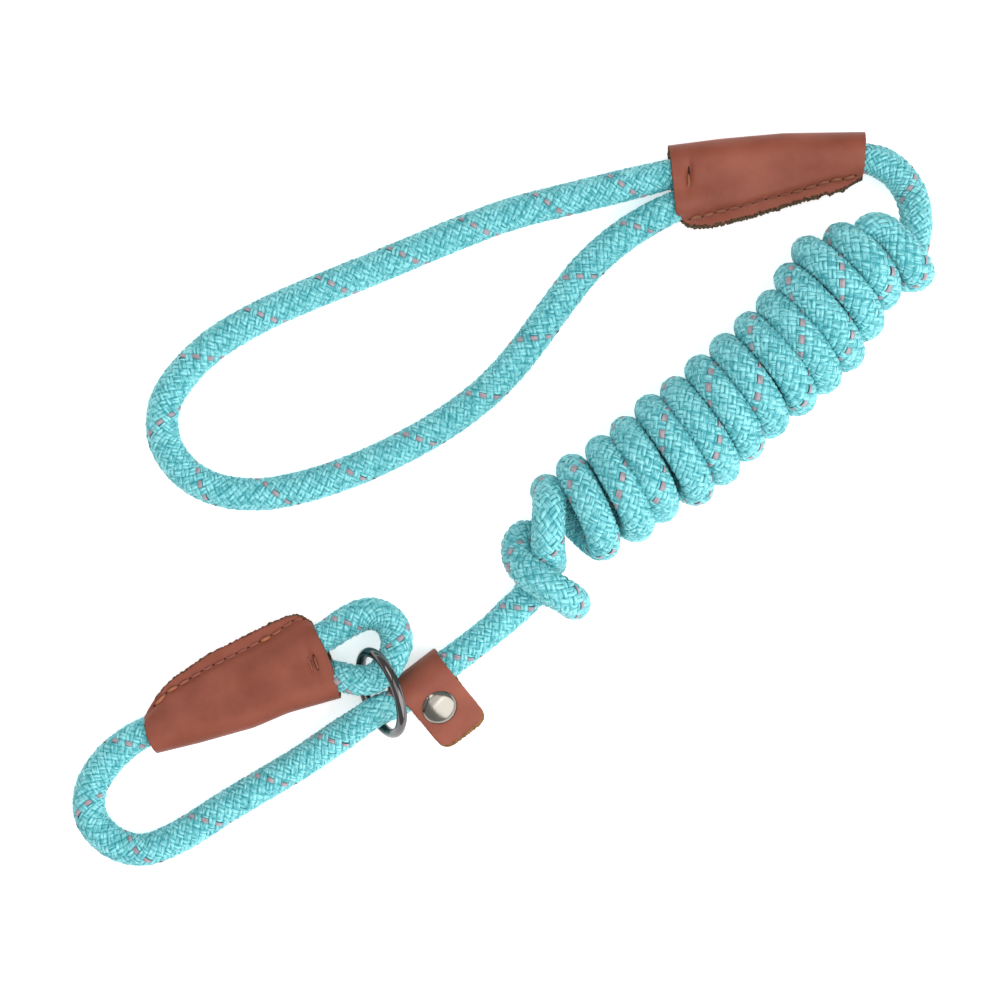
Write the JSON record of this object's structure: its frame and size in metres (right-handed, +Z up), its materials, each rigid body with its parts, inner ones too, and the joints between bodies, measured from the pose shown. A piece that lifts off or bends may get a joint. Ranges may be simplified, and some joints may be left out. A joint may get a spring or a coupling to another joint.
{
  "type": "slip lead",
  "caption": "Dog training slip lead of braided rope, with a leather-sleeved hand loop, a ring that makes a slip noose, a leather stop and the spare rope wound into a coil.",
  "frame": {"origin": "centre of the bounding box's underside: the lead lies flat on a table at z = 0", "axes": "+Z up from the table; +X along the lead's longest side, from the noose towards the end of the coil; +Y towards the handle sleeve"},
  "size_m": [0.2518, 0.2159, 0.0324],
  "materials": {
    "rope": "braided, slight sheen",
    "leather": "smooth, semi-matt",
    "thread": "waxed",
    "ring_metal": "polished black nickel",
    "rivet_metal": "satin nickel"
  },
  "bodies": {
    "lead": {"rope_handle_loop": "rope", "rope_handle_through": "rope", "rope_handle_tail": "rope", "rope_lead_in": "rope", "rope_coil": "rope", "rope_lead_out": "rope", "rope_noose": "rope", "rope_noose_through": "rope", "rope_eye": "rope", "rope_noose_tail": "rope", "handle_sleeve": "leather", "handle_seam_thread": "thread", "handle_bar_tack": "thread", "noose_sleeve": "leather", "noose_seam_thread": "thread", "noose_bar_tack": "thread"},
    "ring": {"slip_ring": "ring_metal"},
    "stop": {"stop_strap": "leather", "rivet_cap": "rivet_metal", "rivet_post": "rivet_metal"}
  },
  "joints": [
    {"name": "ring_spin", "type": "hinge", "parent": "lead", "child": "ring", "pos_m": [-0.0356, -0.0563, 0.01271], "axis": [-0.8579, -0.2854, 0.4274], "continuous": true},
    {"name": "stop_slide", "type": "slide", "parent": "lead", "child": "stop", "axis": [0.7923, 0.6101, 0], "range_m": [0, 0.014]}
  ]
}
